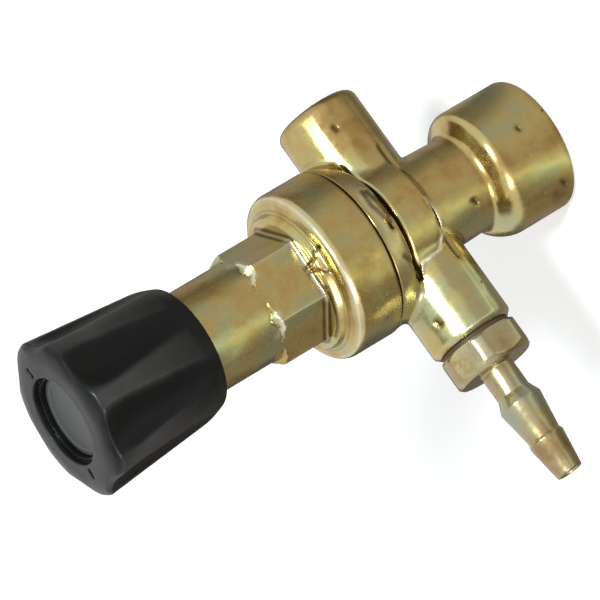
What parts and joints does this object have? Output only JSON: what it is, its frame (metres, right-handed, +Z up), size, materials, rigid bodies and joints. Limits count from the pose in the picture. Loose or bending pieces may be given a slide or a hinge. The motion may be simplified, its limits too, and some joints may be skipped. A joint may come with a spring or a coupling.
{
  "type": "pressure regulator",
  "caption": "Small brass gas pressure regulator with a screwed bottle inlet, a blank boss, a barbed hose outlet and a fluted black adjusting knob.",
  "frame": {"origin": "centre of the inlet mouth, on the flat face of the inlet socket", "axes": "+Z up the main axis from the inlet to the top of the knob, -X along the outlet and its hose tail, +X along the blank boss"},
  "size_m": [0.0734, 0.0302, 0.0976],
  "materials": {
    "forged_brass": "forged and tumbled, satin",
    "turned_brass": "turned, bright satin",
    "knob_plastic": "moulded, fine satin grain",
    "cap_plastic": "moulded, satin",
    "steel": "zinc plated",
    "spring_steel": "drawn and oiled",
    "rubber": "moulded black rubber",
    "fibre": "pressed red-brown fibre",
    "sintered_bronze": "porous sintered grain"
  },
  "bodies": {
    "housing": {"body": "forged_brass", "bonnet": "forged_brass", "diaphragm": "rubber", "slip_ring": "turned_brass", "valve_seat": "turned_brass", "valve_retainer": "turned_brass", "inlet_filter": "sintered_bronze", "inlet_seal": "rubber", "depressor_pin": "steel", "tail_washer": "fibre", "hose_tail": "turned_brass", "main_spring": "spring_steel", "poppet_spring": "spring_steel"},
    "spring_seat": {"spring_button": "steel"},
    "knob_and_screw": {"knob": "knob_plastic", "knob_cap": "cap_plastic", "knob_screw": "steel", "knob_washer": "steel", "adjusting_screw": "steel", "stop_ring": "spring_steel"},
    "valve_train": {"diaphragm_plate": "turned_brass", "spring_plate": "turned_brass", "push_pin": "steel", "poppet": "turned_brass", "poppet_pad": "rubber"}
  },
  "joints": [
    {"name": "adjust_travel", "type": "slide", "parent": "housing", "child": "spring_seat", "axis": [0, 0, -1], "range_m": [0, 0.005], "deforming": ["main_spring"]},
    {"name": "adjust_turn", "type": "hinge", "parent": "spring_seat", "child": "knob_and_screw", "pos_m": [0, 0, 0.086], "axis": [0, 0, -1], "range_deg": [0, 1440]},
    {"name": "valve_lift", "type": "slide", "parent": "housing", "child": "valve_train", "axis": [0, 0, -1], "range_m": [0, 0.0008], "stiffness_N_per_m": 1500, "springref_m": -0.002, "deforming": ["poppet_spring", "diaphragm"]}
  ],
  "couplings": [
    {"joint": "adjust_travel", "follows": "adjust_turn", "m_per_rad": 0.00019894}
  ]
}
